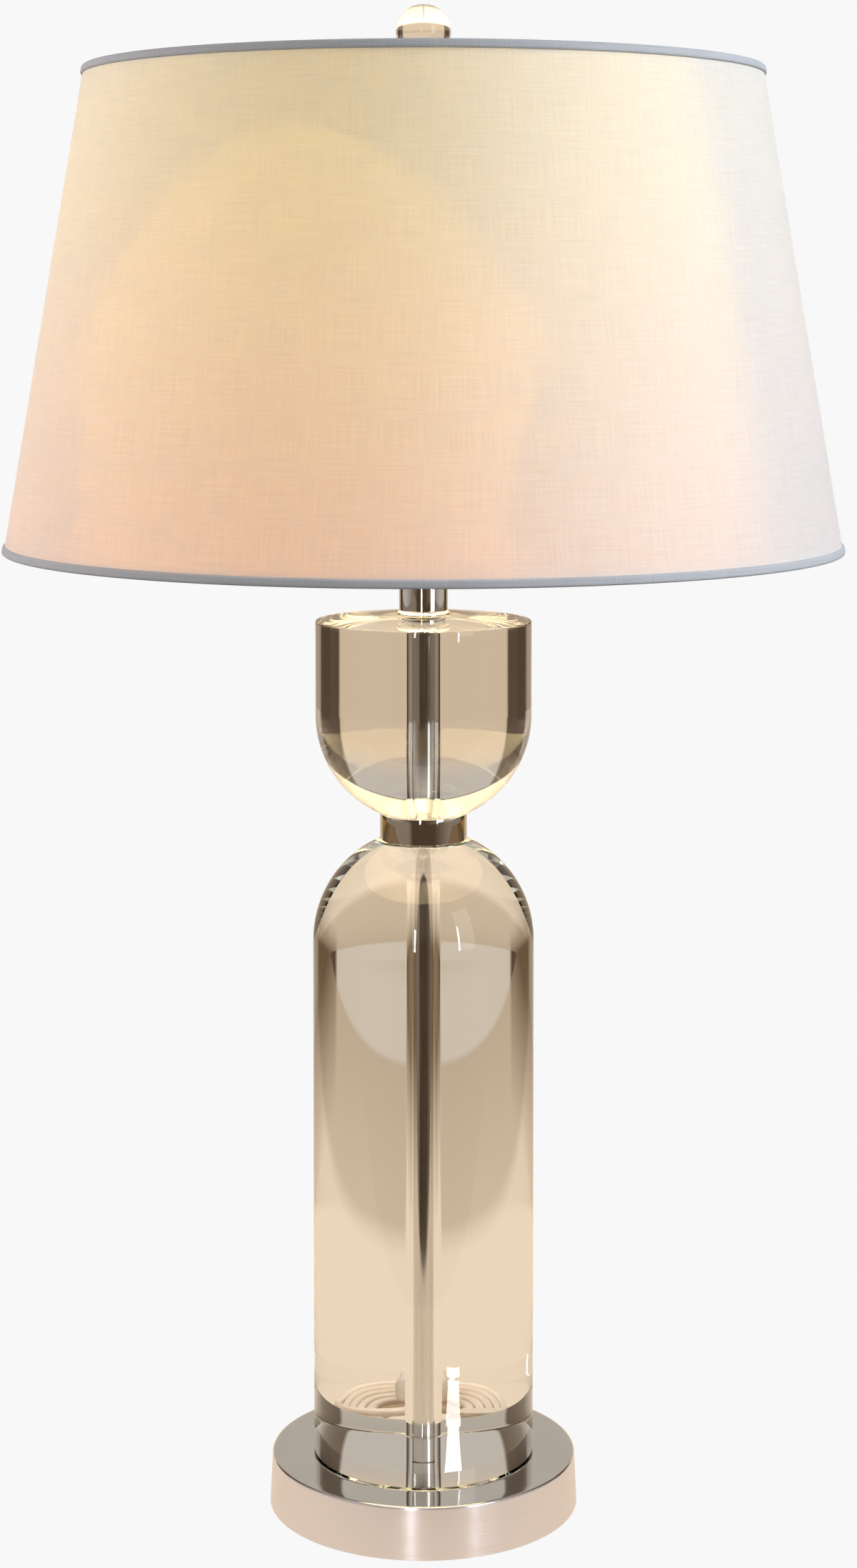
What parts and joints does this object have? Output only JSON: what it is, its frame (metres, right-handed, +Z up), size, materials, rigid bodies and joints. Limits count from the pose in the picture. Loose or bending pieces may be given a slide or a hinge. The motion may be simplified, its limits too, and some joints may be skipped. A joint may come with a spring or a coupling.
{
  "type": "table lamp",
  "caption": "Table lamp with clear crystal columns stacked on a round polished base, a tapered white fabric shade on a harp and a crystal ball finial.",
  "frame": {"origin": "on the table, under the middle of the round base", "axes": "+Z up along the lamp's axis, -Y towards the front with the switch knob, +Y towards the cord outlet"},
  "size_m": [0.4056, 0.4056, 0.7318],
  "materials": {
    "polished_metal": "polished",
    "satin_metal": "satin, spun round",
    "crystal": "clear polished",
    "clear_gasket": "clear soft",
    "pipe_metal": "nickel plated",
    "iron": "raw cast",
    "zinc_steel": "zinc plated",
    "board": "fibre board",
    "felt": "matte felt",
    "harp_metal": "nickel plated",
    "socket_metal": "nickel plated",
    "paper_liner": "pressed paper",
    "phenolic": "moulded",
    "brass": "drawn",
    "knob_plastic": "moulded",
    "bulb_glass": "frosted",
    "bulb_cap_metal": "drawn",
    "bulb_insulator": "glassy",
    "solder": "soldered",
    "shade_fabric": "fine weave on a stiff lining",
    "shade_wire": "white enamel",
    "cord_plastic": "clear gold flex",
    "bushing_plastic": "moulded",
    "tie_plastic": "moulded",
    "plug_plastic": "moulded"
  },
  "bodies": {
    "stand": {"base_shell": "satin_metal", "base_weight": "iron", "felt_pad": "felt", "base_cover": "board", "base_lock_washer": "zinc_steel", "base_nut": "zinc_steel", "lamp_pipe": "pipe_metal", "foot_gasket": "clear_gasket", "lower_crystal": "crystal", "collar": "polished_metal", "collar_gaskets": "clear_gasket", "upper_crystal": "crystal", "neck_washer": "polished_metal", "neck_ring": "polished_metal", "neck_tube": "polished_metal", "harp_saddle": "harp_metal", "harp_bow": "harp_metal", "harp_stud": "brass", "socket_cap": "socket_metal", "socket_shell": "socket_metal", "socket_liner": "paper_liner", "socket_core": "phenolic", "terminal_screws": "brass", "centre_contact": "brass", "screw_shell": "brass", "cord_bushing": "bushing_plastic", "inner_cord": "cord_plastic", "cord_lead": "cord_plastic", "cord_coil": "cord_plastic", "cord_tail": "cord_plastic", "cord_tie": "tie_plastic", "plug_body": "plug_plastic", "plug_blades": "brass"},
    "switch": {"switch_stem": "brass", "switch_knob": "knob_plastic"},
    "bulb": {"bulb_tip": "solder", "bulb_insulator": "bulb_insulator", "bulb_cap": "bulb_cap_metal", "bulb_globe": "bulb_glass"},
    "sleeve_left": {"harp_sleeve_left": "harp_metal"},
    "sleeve_right": {"harp_sleeve_right": "harp_metal"},
    "shade": {"shade_skin": "shade_fabric", "shade_top_hem": "shade_fabric", "shade_bottom_hem": "shade_fabric", "shade_bottom_ring": "shade_wire", "shade_frame": "shade_wire"},
    "finial": {"finial_base": "polished_metal", "finial_insert": "brass", "finial_ball": "crystal"}
  },
  "joints": [
    {"name": "switch_turn", "type": "hinge", "parent": "stand", "child": "switch", "pos_m": [0, -0.026, 0.504], "axis": [0, -1, 0], "continuous": true},
    {"name": "bulb_turn", "type": "hinge", "parent": "stand", "child": "bulb", "pos_m": [0, 0, 0.53], "axis": [0, 0, 1], "continuous": true},
    {"name": "shade_turn", "type": "hinge", "parent": "stand", "child": "shade", "pos_m": [0, 0, 0.688], "axis": [0, 0, 1], "continuous": true},
    {"name": "finial_turn", "type": "hinge", "parent": "stand", "child": "finial", "pos_m": [0, 0, 0.7], "axis": [0, 0, 1], "continuous": true},
    {"name": "sleeve_left_slide", "type": "slide", "parent": "stand", "child": "sleeve_left", "axis": [0, 0, 1], "range_m": [0, 0.012]},
    {"name": "sleeve_right_slide", "type": "slide", "parent": "stand", "child": "sleeve_right", "axis": [0, 0, 1], "range_m": [0, 0.012]}
  ]
}
